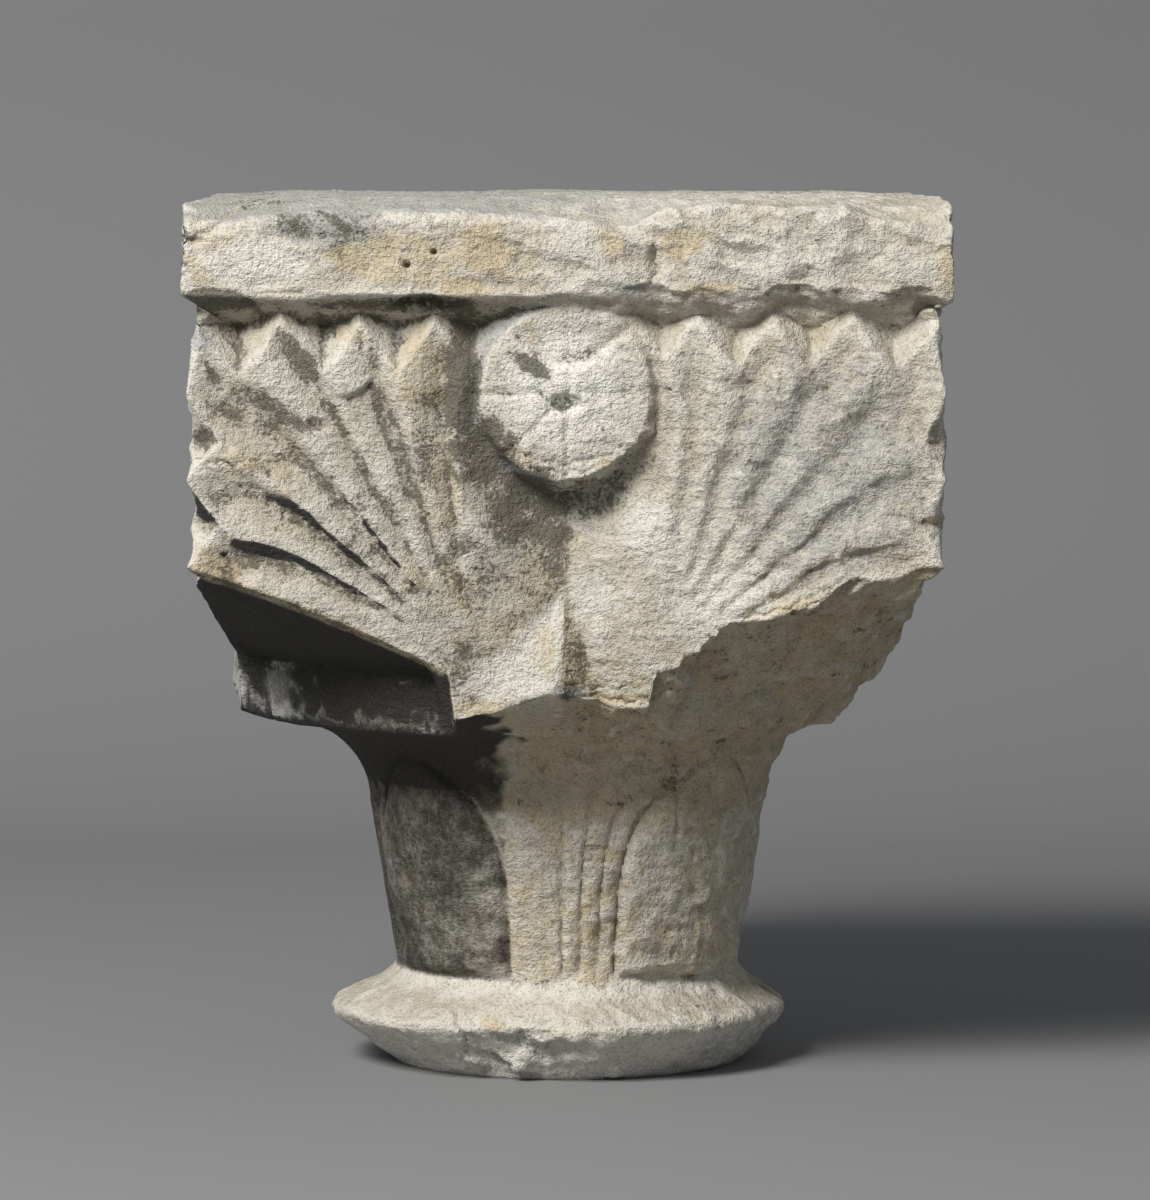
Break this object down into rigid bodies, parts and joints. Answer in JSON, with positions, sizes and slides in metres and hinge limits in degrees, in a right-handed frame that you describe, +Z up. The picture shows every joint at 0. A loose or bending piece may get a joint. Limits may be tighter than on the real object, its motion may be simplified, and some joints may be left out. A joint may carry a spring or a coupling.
{
  "type": "sandstone capital",
  "caption": "Square-topped column capital of worn sandstone: palmettes folded round the corners, a rosette and a pointed lower leaf on each face, a fluted bell, a round foot moulding.",
  "frame": {"origin": "middle of the round foot bed, which is the lowest face", "axes": "+Z up along the column; the carved front that was pictured looks toward -Y, +X is to its right"},
  "size_m": [0.272, 0.272, 0.323],
  "materials": {
    "sandstone": "matte"
  },
  "bodies": {
    "root": {"capital": "sandstone"}
  },
  "joints": []
}
